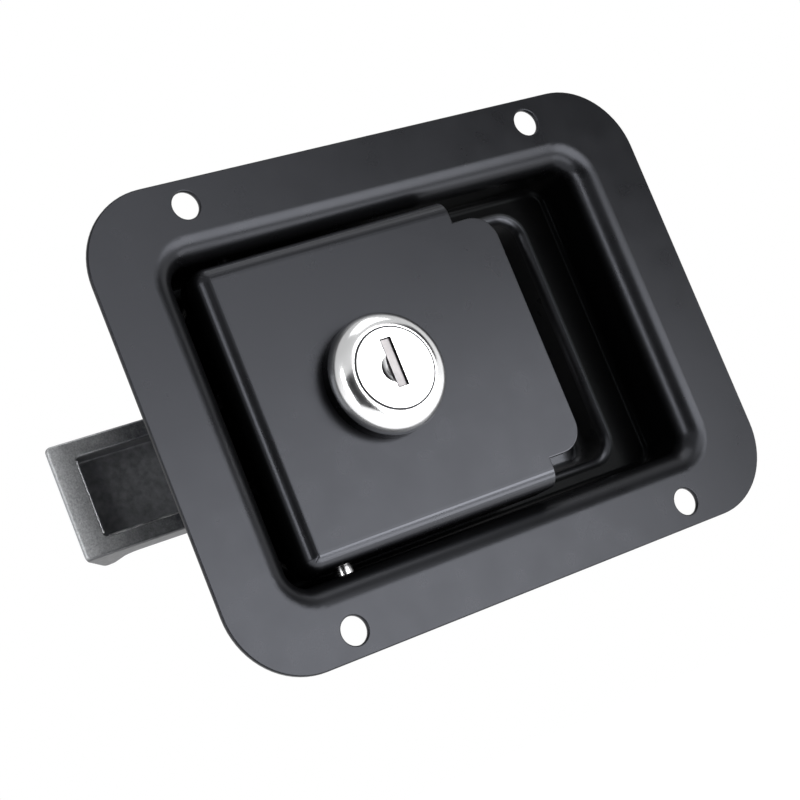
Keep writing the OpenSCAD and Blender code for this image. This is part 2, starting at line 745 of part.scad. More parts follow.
module lock_plug() {
    color(CHROME) as_fitted() on_lock() difference() {
        union() {
            translate([0, 0, head_floor + run_fit]) cylinder(r = head_r, h = head_top - cap_t - cap_skirt_len - head_floor - run_fit);
            translate([0, 0, head_floor + run_fit]) cylinder(r = head_r - cap_skirt - fixed_fit, h = head_top - cap_t - head_floor - run_fit);
            translate([0, 0, cam_top]) cylinder(r = plug_r, h = head_floor + 0.5 - cam_top);
            intersection() {
                translate([0, 0, cam_under]) cylinder(r = stub_r, h = cam_t + 2);
                block([-stub_flats / 2, stub_flats / 2], [-stub_r, stub_r], [cam_under, cam_top + 2]);
            }
        }
        // Chamber that the shutter swings in
        block([chamber_left, chamber_right], [key_y - chamber_half, key_y + chamber_half], [chamber_floor, head_top]);
        // Blind holes for the shutter's pin
        translate([shutter_x, key_y, shutter_z])
            y_rod(shutter_pin_r + fixed_fit, -chamber_half - 0.5, chamber_half + 0.5);
        // Keyway
        block([key_x - key_w / 2, key_x + key_w / 2], [key_y - key_h / 2, key_y + key_h / 2],
              [wafer_last - 2, head_top]);
        wafer_slots();
        // Tapped hole for the cam's screw
        translate([0, 0, cam_under - 1]) cylinder(r = screw_r + fixed_fit, h = screw_len);
    }
}

module plug_cap() {
    dish_rim = 2.5;
    dish_r = 4.1;
    dish_up = sqrt(pow(dish_r, 2) - pow(dish_rim, 2));
    color(CHROME) as_fitted() on_lock() difference() {
        translate([0, 0, head_top - cap_t - cap_skirt_len]) cylinder(r = head_r, h = cap_t + cap_skirt_len);
        translate([0, 0, head_top - cap_t - cap_skirt_len - 1]) cylinder(r = head_r - cap_skirt, h = cap_skirt_len + 1);
        block([key_x - key_w / 2, key_x + key_w / 2], [key_y - key_h / 2, key_y + key_h / 2], [0, head_top + 1]);
        // Half-round dish left of the key slot
        intersection() {
            translate([0, 0, head_top + dish_up]) sphere(dish_r);
            block([-dish_r, key_x - key_w / 2 + 0.1], [-dish_r, dish_r], [head_top - 2, head_top + 1]);
        }
    }
}

module shutter() {
    color(STEEL) as_fitted() on_lock() difference() {
        translate([0, key_y, 0]) union() {
            block([shutter_left, shutter_x - knuckle_r - 0.1], [-shutter_half, shutter_half],
                  [shutter_z + knuckle_r - shutter_t, shutter_z + knuckle_r]);
            block([shutter_x - knuckle_r - 0.2, shutter_x], [-shutter_half, shutter_half - knuckle_gap],
                  [shutter_z + knuckle_r - shutter_t, shutter_z + knuckle_r]);
            block(step_x, [-step_half, step_half], [shutter_z + knuckle_r - 0.1, shutter_z + knuckle_r + step_h]);
            translate([shutter_x, 0, shutter_z]) y_rod(knuckle_r, -shutter_half, shutter_half - knuckle_gap);
        }
        translate([shutter_x, key_y, shutter_z]) y_rod(shutter_pin_r + 0.03, -shutter_half - 1, shutter_half + 1);
    }
}

module shutter_pin() {
    color(STEEL) as_fitted() on_lock() translate([shutter_x, key_y, shutter_z])
        y_rod(shutter_pin_r, -chamber_half - 0.4, chamber_half + 0.4);
}

// Small torsion spring on the shutter's pin, beside the knuckle
module shutter_spring() {
    wire_r = 0.07;
    coil_r = shutter_pin_r + wire_r + 0.05;
    y1 = shutter_half - 0.1;
    y0 = y1 - knuckle_gap + 0.3;
    turns = coil(y0, y1, coil_r, 6, 10);
    color(STEEL) as_fitted() on_lock() translate([shutter_x, key_y, shutter_z])
        wire([for (p = turns) [p[1], p[0], p[2]]], wire_r, 5, [0, 1, 0]);
}

module wafer(i) {
    r = plug_r - 0.05;
    color(BRASS) as_fitted() on_lock() translate([0, 0, wafer_z(i) - wafer_t / 2]) difference() {
        union() {
            intersection() {
                cylinder(r = r, h = wafer_t);
                block([-wafer_w / 2, wafer_w / 2], [-r - 1, r + 1], [-1, wafer_t + 1]);
            }
            // Ear that the spring lifts
            block([0, wafer_w / 2 + wafer_pocket - 0.2], [2.5 - wafer_ear_h, 2.5], [0, wafer_t]);
        }
        block([key_x - key_w / 2 - 0.1, key_x + key_w / 2 + 0.1],
              [key_y - wafer_hole_h / 2 + WAFER_SHIFTS[i - 1], key_y + wafer_hole_h / 2 + WAFER_SHIFTS[i - 1]],
              [-1, wafer_t + 1]);
    }
}

module wafer_spring(i) {
    wire_r = 0.08;
    coil_r = 0.45;
    turns = coil(-2.7 + wire_r + 0.05, 2.5 - wafer_ear_h - wire_r - 0.05, coil_r, 6, 8);
    color(STEEL) as_fitted() on_lock() translate([wafer_w / 2 + wafer_pocket / 2 + 0.03, 0, wafer_z(i)])
        wire([for (p = turns) [p[1], p[0], p[2]]], wire_r, 4, [0, 1, 0]);
}

module cam() {
    color(STEEL) as_fitted() on_lock() translate([0, 0, cam_under]) difference() {
        union() {
            cylinder(r = cam_w / 2 + 1, h = cam_t);
            translate([cam_len - cam_w / 2, 0, 0]) cylinder(r = cam_w / 2, h = cam_t);
            translate([0, -cam_w / 2, 0]) cube([cam_len - cam_w / 2, cam_w, cam_t]);
        }
        intersection() {
            translate([0, 0, -1]) cylinder(r = stub_r + run_fit, h = cam_t + 2);
            block([-stub_flats / 2 - run_fit, stub_flats / 2 + run_fit], [-cam_w, cam_w], [-2, cam_t + 2]);
        }
    }
}

module cam_washer() {
    color(STEEL) as_fitted() on_lock() translate([0, 0, cam_under - cam_washer_t]) difference() {
        cylinder(r = screw_head_r + 0.6, h = cam_washer_t);
        translate([0, 0, -1]) cylinder(r = screw_r + 0.15, h = cam_washer_t + 2);
    }
}

module cam_screw() {
    head_top_z = cam_under - cam_washer_t;
    drive_w = 0.8;
    drive_d = 1;
    color(STEEL) as_fitted() on_lock() difference() {
        union() {
            translate([0, 0, head_top_z - 0.1]) cylinder(r = screw_r, h = screw_len - 1);
            translate([0, 0, head_top_z - screw_head_t]) cylinder(r = screw_head_r, h = screw_head_t);
        }
        for (a = [0, 90])
            rotate(a) block([-screw_head_r + 1, screw_head_r - 1], [-drive_w / 2, drive_w / 2],
                            [head_top_z - screw_head_t - 1, head_top_z - screw_head_t + drive_d]);
    }
}

// Side view of the bolt: flat front, ramp at the back of the nose
module bolt_side() {
    nose_r = 1.4;
    lip = 0.9;
    fillet = 2;
    tip = [-bolt_tip, bolt_front - lip];
    round_at = [nose_end - nose_r, nose_back + nose_r];
    // The ramp leaves the tip and touches the nose's round end
    away = round_at - tip;
    ramp_a = atan2(away[1], away[0]) - asin(nose_r / norm(away));
    ramp_len = sqrt(away * away - pow(nose_r, 2));
    union() {
        polygon([[-bolt_tip, bolt_front], tip, tip + ramp_len * [cos(ramp_a), sin(ramp_a)], round_at,
                 [nose_end, round_at[1]], [nose_end, bolt_back], [-bolt_tail, bolt_back], [-bolt_tail, bolt_front]]);
        translate(round_at) circle(nose_r);
        // Fillet between the nose and the body
        difference() {
            translate([nose_end - 0.5, bolt_back - fillet]) square(fillet + 0.5);
            translate([nose_end + fillet, bolt_back - fillet]) circle(fillet);
        }
    }
}

module bolt() {
    color(ZINC) as_fitted() difference() {
        intersection() {
            y_prism(-bolt_half, bolt_half) bolt_side();
            z_prism(nose_back - 1, bolt_front + 1) translate([(-bolt_tip - bolt_tail) / 2, 0])
                rounded_rect((bolt_tip - bolt_tail) / 2, bolt_half, bolt_corner_r);
        }
        // Pocket that the arms reach into, and that lets the bolt slam without them
        z_prism(bolt_front - pocket_depth, bolt_front + 1)
            translate([(-bolt_tip + pocket_tip_wall + pocket_end) / 2, 0])
                rounded_rect((pocket_end + bolt_tip - pocket_tip_wall) / 2, bolt_half - pocket_wall, 0.6);
        translate([0, 0, rod_z]) x_rod(rod_r + fixed_fit, -bolt_tail - rod_grip, -bolt_tail + 1);
    }
}

module bolt_rod() {
    clip_x = guide_right + seat_gap;
    color(STEEL) as_fitted() translate([0, 0, rod_z]) difference() {
        x_rod(rod_r, -bolt_tail - rod_grip + 0.1, rod_end);
        difference() {
            x_rod(rod_r + 1, clip_x - 0.05, clip_x + clip_t + 0.05);
            x_rod(rod_groove_r, clip_x - 1, clip_x + 2);
        }
    }
}

module bolt_rod_clip() {
    clip_x = guide_right + seat_gap;
    color(STEEL) as_fitted() translate([0, 0, rod_z])
        x_prism(clip_x, clip_x + clip_t) clip_shape(rod_groove_r, rod_r + clip_edge);
}

// Compression spring between the bolt's tail and the guide's end
module bolt_spring() {
    end_gap = bolt_wire_d / 2 + 0.2;
    color(STEEL) as_fitted() translate([0, 0, rod_z])
        wire(coil(-bolt_tail + end_gap, guide_right - guide_t - end_gap, bolt_coil_r, bolt_turns, 16),
             bolt_wire_d / 2, 6, [1, 0, 0]);
}

pan();
bolt_guide();
guide_rivets();
hinge_pin();
hinge_pin_clip();
paddle_spring();
paddle();
drive_yoke();
lock_body();
lock_washer();
lock_nut();
lock_plug();
plug_cap();
shutter();
shutter_pin();
shutter_spring();
for (i = [1:5]) wafer(i);
for (i = [1:5]) wafer_spring(i);
cam();
cam_washer();
cam_screw();
bolt();
bolt_rod();
bolt_spring();
bolt_rod_clip();
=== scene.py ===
"""Looks of the flush paddle latch: materials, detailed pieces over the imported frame, light and camera."""
import json
import math
import random

import bmesh
import bpy
from mathutils import Matrix, Vector


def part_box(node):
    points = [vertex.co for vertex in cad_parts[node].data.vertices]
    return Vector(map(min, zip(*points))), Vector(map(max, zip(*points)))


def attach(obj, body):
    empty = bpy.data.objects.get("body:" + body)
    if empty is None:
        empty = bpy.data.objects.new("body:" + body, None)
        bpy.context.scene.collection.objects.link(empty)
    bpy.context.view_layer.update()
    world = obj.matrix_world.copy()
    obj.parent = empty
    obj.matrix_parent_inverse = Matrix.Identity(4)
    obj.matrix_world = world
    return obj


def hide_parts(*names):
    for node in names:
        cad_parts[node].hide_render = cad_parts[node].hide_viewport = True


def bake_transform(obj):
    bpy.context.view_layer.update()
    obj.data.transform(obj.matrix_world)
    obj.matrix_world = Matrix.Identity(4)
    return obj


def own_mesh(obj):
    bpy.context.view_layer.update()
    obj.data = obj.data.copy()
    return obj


MM = 0.001

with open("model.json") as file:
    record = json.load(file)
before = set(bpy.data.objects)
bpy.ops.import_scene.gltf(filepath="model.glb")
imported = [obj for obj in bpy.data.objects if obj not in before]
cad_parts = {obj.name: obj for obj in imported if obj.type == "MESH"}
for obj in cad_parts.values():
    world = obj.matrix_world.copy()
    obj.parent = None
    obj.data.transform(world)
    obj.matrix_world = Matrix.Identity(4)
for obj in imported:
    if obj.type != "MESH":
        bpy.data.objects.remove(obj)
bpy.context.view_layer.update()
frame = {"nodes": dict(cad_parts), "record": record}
nodes = frame["nodes"]


# Camera, calibrated on the photograph's flange, holes and lock. Its place is in mm
CAMERA_AT = Vector((-179.8, -277.9, -44.2))
LOOKING, UPWARDS = Vector((0.51542, 0.84814, 0.12251)), Vector((0.26254, -0.29237, 0.91956))
camera = bpy.data.cameras.new("camera")
camera.sensor_width = 36.0
camera.lens = 88.93
cam = bpy.data.objects.new("camera", camera)
bpy.context.scene.collection.objects.link(cam)
forward = LOOKING.normalized()
right = forward.cross(UPWARDS).normalized()
turn = Matrix((right, right.cross(forward), -forward)).transposed()
cam.matrix_world = Matrix.Translation(CAMERA_AT * MM) @ turn.to_4x4()
bpy.context.scene.camera = cam
bpy.context.scene.view_settings.view_transform = "Standard"

# Sizes in mm that the source gives the same parts
PIN = Vector((-29.6, 0, -5.6))
TILT = math.radians(3)
LOCK_FROM_PIN, PADDLE_RISE = 15.7, 7.4
HEAD_R, HEAD_TOP, BARREL_R, BEZEL_SIDE = 7.05, 6.15, 8.0, 2.4
KEY_X, KEY_W = 0.15, 2.0
COVER_LEFT, COVER_HALF, BEND_R = -8.9, 26.4, 3.0

# The recess's ledge and the bowl's floor, in metres behind the flange's back, and the bolt's lowest corner
LEDGE_Y, BOWL_Y = 11.4 * MM, 19.2 * MM
bolt_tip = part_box("bolt")[0]

# Frames in mm: the door plate's, the closed paddle's, and the key cylinder's with its axis along Z
PLATE = Matrix.Rotation(math.radians(90), 4, "X")
ON_PADDLE = PLATE @ Matrix.Translation(PIN) @ Matrix.Rotation(-TILT, 4, "Y")
ON_LOCK = ON_PADDLE @ Matrix.Translation((LOCK_FROM_PIN, 0, PADDLE_RISE))


# Materials, and where a mix node has its sockets for colours
MIX_A, MIX_B, MIX_RESULT = 6, 7, 2


class Nodes:
    """Short calls for a material's nodes."""

    def __init__(self, name):
        self.mat = bpy.data.materials.new(name)
        self.mat.use_nodes = True
        self.tree = self.mat.node_tree
        self.shader = self.tree.nodes["Principled BSDF"]

    def add(self, kind, **values):
        node = self.tree.nodes.new(kind)
        for key, value in values.items():
            setattr(node, key, value)
        return node

    def join(self, a, b):
        self.tree.links.new(a, b)

    def feed(self, value, socket):
        """Puts a colour, a number or another node's output into a socket."""
        if isinstance(value, tuple):
            socket.default_value = (*value, 1)
        elif isinstance(value, float):
            socket.default_value = value
        else:
            self.join(value, socket)

    def set(self, **values):
        for key, value in values.items():
            self.shader.inputs[key.replace("_", " ")].default_value = value

    def place(self):
        return self.add("ShaderNodeTexCoord").outputs["Object"]

    def noise(self, scale, detail=3.0, rough=0.5):
        node = self.add("ShaderNodeTexNoise")
        node.inputs["Scale"].default_value = scale
        node.inputs["Detail"].default_value = detail
        node.inputs["Roughness"].default_value = rough
        self.join(self.place(), node.inputs["Vector"])
        return node.outputs["Fac"]

    def along(self, axis):
        """The surface's place along an axis, in metres."""
        split = self.add("ShaderNodeSeparateXYZ")
        self.join(self.place(), split.inputs[0])
        return split.outputs[axis]

    def ramp(self, fac, stops):
        node = self.add("ShaderNodeValToRGB")
        elements = node.color_ramp.elements
        while len(elements) < len(stops):
            elements.new(0.5)
        for element, (at, color) in zip(elements, stops):
            element.position = at
            element.color = (*color, 1)
        self.join(fac, node.inputs["Fac"])
        return node.outputs["Color"]

    def spread(self, fac, low, high, from_low=0.3, from_high=0.7):
        """Runs from low to high as the input does from from_low to from_high, which suit a noise."""
        node = self.add("ShaderNodeMapRange")
        ends = {"From Min": from_low, "From Max": from_high, "To Min": low, "To Max": high}
        for key, value in ends.items():
            node.inputs[key].default_value = value
        self.join(fac, node.inputs["Value"])
        return node.outputs["Result"]

    def math(self, operation, a, b):
        node = self.add("ShaderNodeMath", operation=operation)
        self.feed(a, node.inputs[0])
        self.feed(b, node.inputs[1])
        return node.outputs[0]

    def mix(self, fac, a, b, blend="MIX"):
        node = self.add("ShaderNodeMix", data_type="RGBA", blend_type=blend)
        self.feed(fac, node.inputs["Factor"])
        self.feed(a, node.inputs[MIX_A])
        self.feed(b, node.inputs[MIX_B])
        return node.outputs[MIX_RESULT]

    def bump(self, height, distance, strength=1.0, under=None):
        node = self.add("ShaderNodeBump")
        node.inputs["Distance"].default_value = distance
        node.inputs["Strength"].default_value = strength
        self.join(height, node.inputs["Height"])
        if under:
            self.join(under, node.inputs["Normal"])
        return node.outputs["Normal"]

    def color(self, out):
        self.join(out, self.shader.inputs["Base Color"])

    def rough(self, out):
        self.join(out, self.shader.inputs["Roughness"])

    def normal(self, out):
        self.join(out, self.shader.inputs["Normal"])


def inside_patch(n, left, right, top, least_depth):
    """1 in a patch of the surface and 0 outside it, with soft edges. The sizes are in mm."""
    inside = 1.0
    for axis, edge, soft in (("X", left, 10), ("X", right, -3), ("Z", top, -9), ("Y", least_depth, 0.5)):
        inside = n.math("MULTIPLY", inside, n.spread(n.along(axis), 0, 1, edge * MM, (edge + soft) * MM))
    return inside


def powder_coat(name, gloss, black, shine=0.36, glossy_patch=None):
    """Black coat. Its tint of reflected light and its black are each one colour, or a list of colours by
    depth, in mm behind the flange's back; where they darken with depth that is painted shade, and a glossy
    patch is a painted reflection."""
    n = Nodes(name)
    n.set(Specular_IOR_Level=shine)
    near, far = -6, 24
    depth = n.spread(n.along("Y"), 0, 1, near * MM, far * MM)

    def by_depth(colors):
        if isinstance(colors, tuple):
            return colors
        return n.ramp(depth, [((y - near) / (far - near), color) for y, color in colors])

    # Tint of reflected light by depth: painted shade deeper in the recess
    tint = by_depth(gloss)
    if glossy_patch:
        tint = n.mix(inside_patch(n, *glossy_patch), tint, SHEEN_TINT)
    n.feed(tint, n.shader.inputs["Specular Tint"])
    cloud = n.ramp(n.noise(40, 3, 0.55), [(0.35, (0.8, 0.8, 0.8)), (0.7, (1.0, 1.0, 1.0))])
    # The black by depth is painted shade, lighter only where light is painted; the cloud is the coat's own
    # uneven tone
    n.color(n.mix(1.0, by_depth(black), cloud, "MULTIPLY"))
    n.rough(n.spread(n.noise(180, 2), 0.27, 0.31))
    orange_peel = n.bump(n.noise(700, 2, 0.5), 0.012 * MM, 0.35)
    n.normal(n.bump(n.noise(3600, 1, 0.5), 0.004 * MM, 0.4, orange_peel))
    return n.mat


def plated(name, dark, light, rough_low, rough_high, scale=300):
    """Bare or plated metal, clouded from dark to light, with a fine grain of the given scale."""
    n = Nodes(name)
    n.set(Metallic=1.0)
    n.color(n.ramp(n.noise(scale * 0.3, 3, 0.6), [(0.3, dark), (0.75, light)]))
    n.rough(n.spread(n.noise(scale, 3, 0.6), rough_low, rough_high))
    n.normal(n.bump(n.noise(scale * 4, 2, 0.6), 0.004 * MM, 0.4))
    return n.mat


def die_cast(tip):
    """Bare zinc casting, lighter towards its tip for wear together with a painted highlight, and darkened on
    its underside and where it slides in the guide, as painted shade. The tip is its lowest corner, in metres."""
    n = Nodes("die_cast_zinc")
    n.set(Metallic=0.8)
    tip_bright_to, grain_from, unshaded_to, guide_shade_from = (tip.x + x * MM for x in (3, 17, 22, 26))
    grain = n.ramp(n.noise(2600, 4, 0.75), [(0.3, (0.075, 0.078, 0.085)), (0.55, (0.13, 0.135, 0.146)),
                                            (0.75, (0.24, 0.247, 0.26))])
    wear_and_highlight = n.ramp(n.noise(3200, 3, 0.7), [(0.3, (0.31, 0.317, 0.33)), (0.7, (0.58, 0.587, 0.6))])
    hollow = n.ramp(n.noise(900, 3, 0.6), [(0.3, (0.17, 0.173, 0.184)), (0.7, (0.27, 0.275, 0.288))])
    # Lighter towards the tip: wear together with a painted highlight
    from_tip = n.spread(n.along("X"), 1.15, 0, tip_bright_to, grain_from)
    patchy = n.math("ADD", from_tip, n.spread(n.noise(260, 4, 0.6), -0.25, 0.25))
    behind_front = n.spread(n.along("Y"), 0, 1, tip.y + 0.3 * MM, tip.y + 1.2 * MM)
    faces = n.mix(behind_front, n.mix(patchy, grain, wear_and_highlight), hollow)
    # Painted shade: darker on the underside, and darker still where it slides in the guide
    underside = n.spread(n.along("Z"), 1, 0, tip.z + 0.1 * MM, tip.z + 0.6 * MM)
    guide_shade = n.spread(n.along("X"), 0, 1, unshaded_to, guide_shade_from)
    underside_shaded = n.mix(underside, faces, (0.095, 0.097, 0.102))
    n.color(n.mix(guide_shade, underside_shaded, (0.012, 0.012, 0.013)))
    n.rough(n.spread(n.noise(900, 4, 0.7), 0.42, 0.58))
    flow = n.bump(n.noise(160, 3, 0.5), 0.06 * MM, 0.4)
    n.normal(n.bump(n.noise(3000, 3, 0.6), 0.02 * MM, 0.6, flow))
    return n.mat


def pin_finish():
    """The hinge pin: painted dark as shade along its length, with a painted glint where its clip end shows
    below the cover.
    """
    n = Nodes("pin_steel")
    n.set(Metallic=1.0)
    glint_to, pin_shade_from = -27.5 * MM, -26.2 * MM
    # Painted glint at the clip end, painted shade along the rest
    pin_shade = n.spread(n.along("Z"), 0, 1, glint_to, pin_shade_from)
    n.color(n.ramp(pin_shade, [(0.0, (0.6, 0.6, 0.61)), (1.0, (0.0015, 0.0015, 0.0016))]))
    n.rough(n.spread(n.noise(300, 3, 0.6), 0.2, 0.32))
    return n.mat


def dished(slot_left):
    """The dish beside the key slot, with painted shade at its rim and a painted reflection towards the slot's
    left side, given in mm.
    """
    n = Nodes("dish_steel")
    n.set(Metallic=1.0)
    rim, slot = ((ON_LOCK @ Vector((slot_left + x, 0, HEAD_TOP))).x * MM for x in (-2.0, -0.3))
    across = n.spread(n.along("X"), 0, 1, rim, slot)
    n.color(n.ramp(across, [(0.0, (0.03, 0.03, 0.033)), (0.45, (0.08, 0.08, 0.085)),
                            (1.0, (0.7, 0.705, 0.715))]))
    n.rough(n.spread(n.noise(900, 2), 0.14, 0.24))
    return n.mat


# The coat's tints of reflected light, and its blacks. Only the first tint and the first black are the coat's
# own: the tint beside the first is a painted sheen, the next two tints and the second black are painted
# shade, and the last black is painted light
GLOSS, SHEEN_TINT = (0.86, 0.89, 1.0), (0.56, 0.58, 0.65)
HALF_SHADE_TINT, SHADE_TINT = (0.3, 0.31, 0.34), (0.05, 0.055, 0.06)
BLACK, SHADE_BLACK, LIT = (0.0042, 0.0043, 0.0048), (0.0014, 0.0014, 0.0015), (0.045, 0.045, 0.047)

# The same by depth on the pan and the cover, in mm behind the flange's back. They paint shade into the recess
# and onto the cover's skirts, give the reflections back at the bowl's rim as a painted highlight, and paint
# light on the bowl's wall
PAN_GLOSS = [(1.3, GLOSS), (2.7, SHADE_TINT), (11.5, SHADE_TINT), (11.72, GLOSS), (12.6, GLOSS), (14, HALF_SHADE_TINT),
             (18.6, HALF_SHADE_TINT), (19, SHADE_TINT)]
PAN_BLACK = [(1.6, BLACK), (3.0, SHADE_BLACK), (11.5, SHADE_BLACK), (12.4, BLACK), (13.5, LIT), (18.8, LIT), (19.1, SHADE_BLACK)]
COVER_GLOSS = [(-0.7, GLOSS), (0.1, SHADE_TINT), (6, SHADE_TINT)]
COVER_BLACK = [(-0.7, BLACK), (0.5, SHADE_BLACK), (6, SHADE_BLACK)]

# Patch of painted reflection on the bowl's floor, in mm: its left, its right, its top and its least depth
FLOOR_SHEEN_PATCH = (16, 31.5, -10, 18.2)

coat = powder_coat("powder_coat", PAN_GLOSS, PAN_BLACK)
# The bowl's lip and floor: a painted sheen, with a patch of painted reflection on the floor
lip_coat = powder_coat("powder_coat_lip", PAN_GLOSS, PAN_BLACK, shine=0.95, glossy_patch=FLOOR_SHEEN_PATCH)
back_coat = powder_coat("powder_coat_back", GLOSS, BLACK)
# The slot through the floor: painted shade all through
slot_coat = powder_coat("powder_coat_slot", SHADE_TINT, SHADE_BLACK)
cover_coat = powder_coat("powder_coat_cover", COVER_GLOSS, COVER_BLACK)
# The cover's long folds: a painted sheen
fold_sheen_coat = powder_coat("powder_coat_fold_sheen", COVER_GLOSS, COVER_BLACK, shine=0.85)
chrome = plated("chrome_plate", (0.9, 0.905, 0.915), (0.95, 0.952, 0.957), 0.16, 0.2)
cap_finish = plated("plug_cap_steel", (0.84, 0.845, 0.853), (0.9, 0.902, 0.905), 0.15, 0.19, 700)
# Dark plating that is painted shade: in the key slot's walls and the plug's seam, and on the bezel's foot
slot_shade = plated("slot_wall", (0.02, 0.02, 0.022), (0.06, 0.06, 0.064), 0.35, 0.5)
foot_shade = plated("bezel_foot", (0.02, 0.02, 0.022), (0.045, 0.045, 0.048), 0.2, 0.3)
shutter_finish = plated("shutter_steel", (0.26, 0.25, 0.255), (0.34, 0.325, 0.33), 0.42, 0.5, 900)
zinc = die_cast(bolt_tip)
flash_finish = plated("cast_edge", (0.1, 0.102, 0.108), (0.5, 0.505, 0.52), 0.35, 0.5, 1500)
steel = plated("plated_steel", (0.42, 0.43, 0.45), (0.62, 0.63, 0.64), 0.28, 0.4)
dish_shade = dished(KEY_X - KEY_W / 2)
pin_steel = pin_finish()
wire_steel = plated("spring_steel", (0.2, 0.2, 0.21), (0.36, 0.36, 0.37), 0.3, 0.42)
black_steel = plated("blackened_steel", (0.012, 0.012, 0.013), (0.03, 0.03, 0.032), 0.4, 0.55)
brass = plated("brass", (0.55, 0.4, 0.16), (0.72, 0.56, 0.28), 0.25, 0.38)

FINISH = {"powder_coat": coat, "chrome_plate": chrome, "die_cast_zinc": zinc, "plated_steel": steel,
          "spring_steel": wire_steel, "brass": brass}
for entry in frame["record"]["subparts"]:
    node = nodes[entry["node"]]
    node.data.materials.clear()
    node.data.materials.append(FINISH[entry["material_slot"]])
nodes["shutter"].data.materials[0] = shutter_finish
nodes["drive_yoke"].data.materials[0] = black_steel


# Pieces
def body_of(node):
    """The name of the body that a node belongs to."""
    return next(body for body, members in frame["record"]["behaviour"]["bodies"].items() if node in members)


def new_piece(name, bm, materials, body):
    """A smooth object from a bmesh. It rides on the body, or on none when none is given."""
    mesh = bpy.data.meshes.new(name)
    bm.normal_update()
    bm.to_mesh(mesh)
    bm.free()
    for material in materials:
        mesh.materials.append(material)
    mesh.shade_smooth()
    piece = bpy.data.objects.new(name, mesh)
    bpy.context.scene.collection.objects.link(piece)
    if body:
        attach(piece, body)
    return piece


def softened(node, radius):
    """A copy of the node's mesh, in flat faces, with every sharp edge rounded."""
    flat_below, sharp_above = math.radians(0.6), math.radians(28)
    weld_first, weld_last = 2e-6, 1e-6
    bm = bmesh.new()
    bm.from_mesh(nodes[node].data)
    bmesh.ops.remove_doubles(bm, verts=bm.verts, dist=weld_first)
    bmesh.ops.dissolve_limit(bm, angle_limit=flat_below, verts=bm.verts, edges=bm.edges)
    sharp = [e for e in bm.edges if e.is_manifold and e.calc_face_angle(0) > sharp_above]
    bmesh.ops.bevel(bm, geom=sharp, offset=radius, offset_type="OFFSET", segments=2, profile=0.5,
                    affect="EDGES", clamp_overlap=False)
    low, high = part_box(node)
    for v in bm.verts:
        v.co = [min(max(c, a), b) for c, a, b in zip(v.co, low, high)]
    bmesh.ops.remove_doubles(bm, verts=bm.verts, dist=weld_last)
    return bm


def dress(name, node, bm, materials=None):
    """Puts a piece in the node's place, with normals that keep its flat faces flat."""
    piece = new_piece(name, bm, materials or [nodes[node].data.materials[0]], body_of(node))
    even = piece.modifiers.new("even_normals", "WEIGHTED_NORMAL")
    even.keep_sharp = False
    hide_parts(node)
    return piece


def pan_mesh():
    """The pressing. Its back is evenly coated and its front darkens with depth, as painted shade. At the
    left, where the ledge is slotted for the paddle's arms, it is painted in shade all through. The bowl's lip
    and floor have a painted sheen."""
    slot_right, slot_front = -25 * MM, 11 * MM
    lip_front, lip_back, floor_front = LEDGE_Y + 0.05 * MM, LEDGE_Y + 1.6 * MM, BOWL_Y - 0.8 * MM
    back, slot, lip = 1, 2, 3
    bm = softened("pan", 0.25 * MM)
    bm.normal_update()
    for f in bm.faces:
        c = f.calc_center_median()
        inward = Vector((-c.x, 0, -c.z)).normalized()
        if f.normal.dot(inward) - f.normal.y < 0:
            f.material_index = back
        elif c.x < slot_right and c.y > slot_front:
            f.material_index = slot
        elif lip_front < c.y < lip_back or c.y > floor_front:
            f.material_index = lip
    return bm


dress("pan_pressing", "pan", pan_mesh(), [coat, back_coat, slot_coat, lip_coat])


def sort_faces(bm):
    """Puts the faces in an order that is the same each run, by their three lowest corners."""
    bm.verts.index_update()
    count = len(bm.verts)

    def place(f):
        first, second, third = sorted(v.index for v in f.verts)[:3]
        return (first * count + second) * count + third

    bm.faces.sort(key=place)


def cover_mesh():
    """The cover, with its two hinged corners drawn round where the source leaves them mitred. Its long folds,
    where they face outwards, have a painted sheen."""
    insets = (0.05, 0.4, 0.8, 1.2, 1.6, 2.0, 2.4, 2.8)
    bm = softened("paddle", 0.2 * MM)
    to_paddle = ON_PADDLE.inverted()
    turned = ON_PADDLE.to_3x3()
    centre_x, centre_y = COVER_LEFT + BEND_R, COVER_HALF - BEND_R
    for inset in insets:
        for across, at in ((Vector((1, 0, 0)), Vector((centre_x - inset, 0, 0))),
                           (Vector((0, 1, 0)), Vector((0, centre_y + inset, 0))),
                           (Vector((0, 1, 0)), Vector((0, -centre_y - inset, 0)))):
            near = [f for f in bm.faces if min((to_paddle @ (v.co / MM)).x for v in f.verts) < centre_x]
            edges = dict.fromkeys(e for f in near for e in f.edges)
            corners = dict.fromkeys(v for f in near for v in f.verts)
            bmesh.ops.bisect_plane(bm, geom=[*near, *edges, *corners], plane_co=(ON_PADDLE @ at) * MM,
                                   plane_no=turned @ across)
    sort_faces(bm)
    for v in bm.verts:
        p = to_paddle @ (v.co / MM)
        dx, dy = centre_x - p.x, abs(p.y) - centre_y
        if dx > 0 and dy > 0:
            share = max(dx, dy) / math.hypot(dx, dy)
            half = math.copysign(centre_y + dy * share, p.y)
            v.co = (ON_PADDLE @ Vector((centre_x - dx * share, half, p.z))) * MM
    bm.normal_update()
    for f in bm.faces:
        on_lower_fold, on_upper_fold = f.normal.z < -0.2, f.normal.z > 0.6
        faces_out = f.normal.y < -0.05
        # Outward faces of the folds take the coat with the painted sheen
        if faces_out and (on_lower_fold or on_upper_fold):
            f.material_index = 1
    return bm


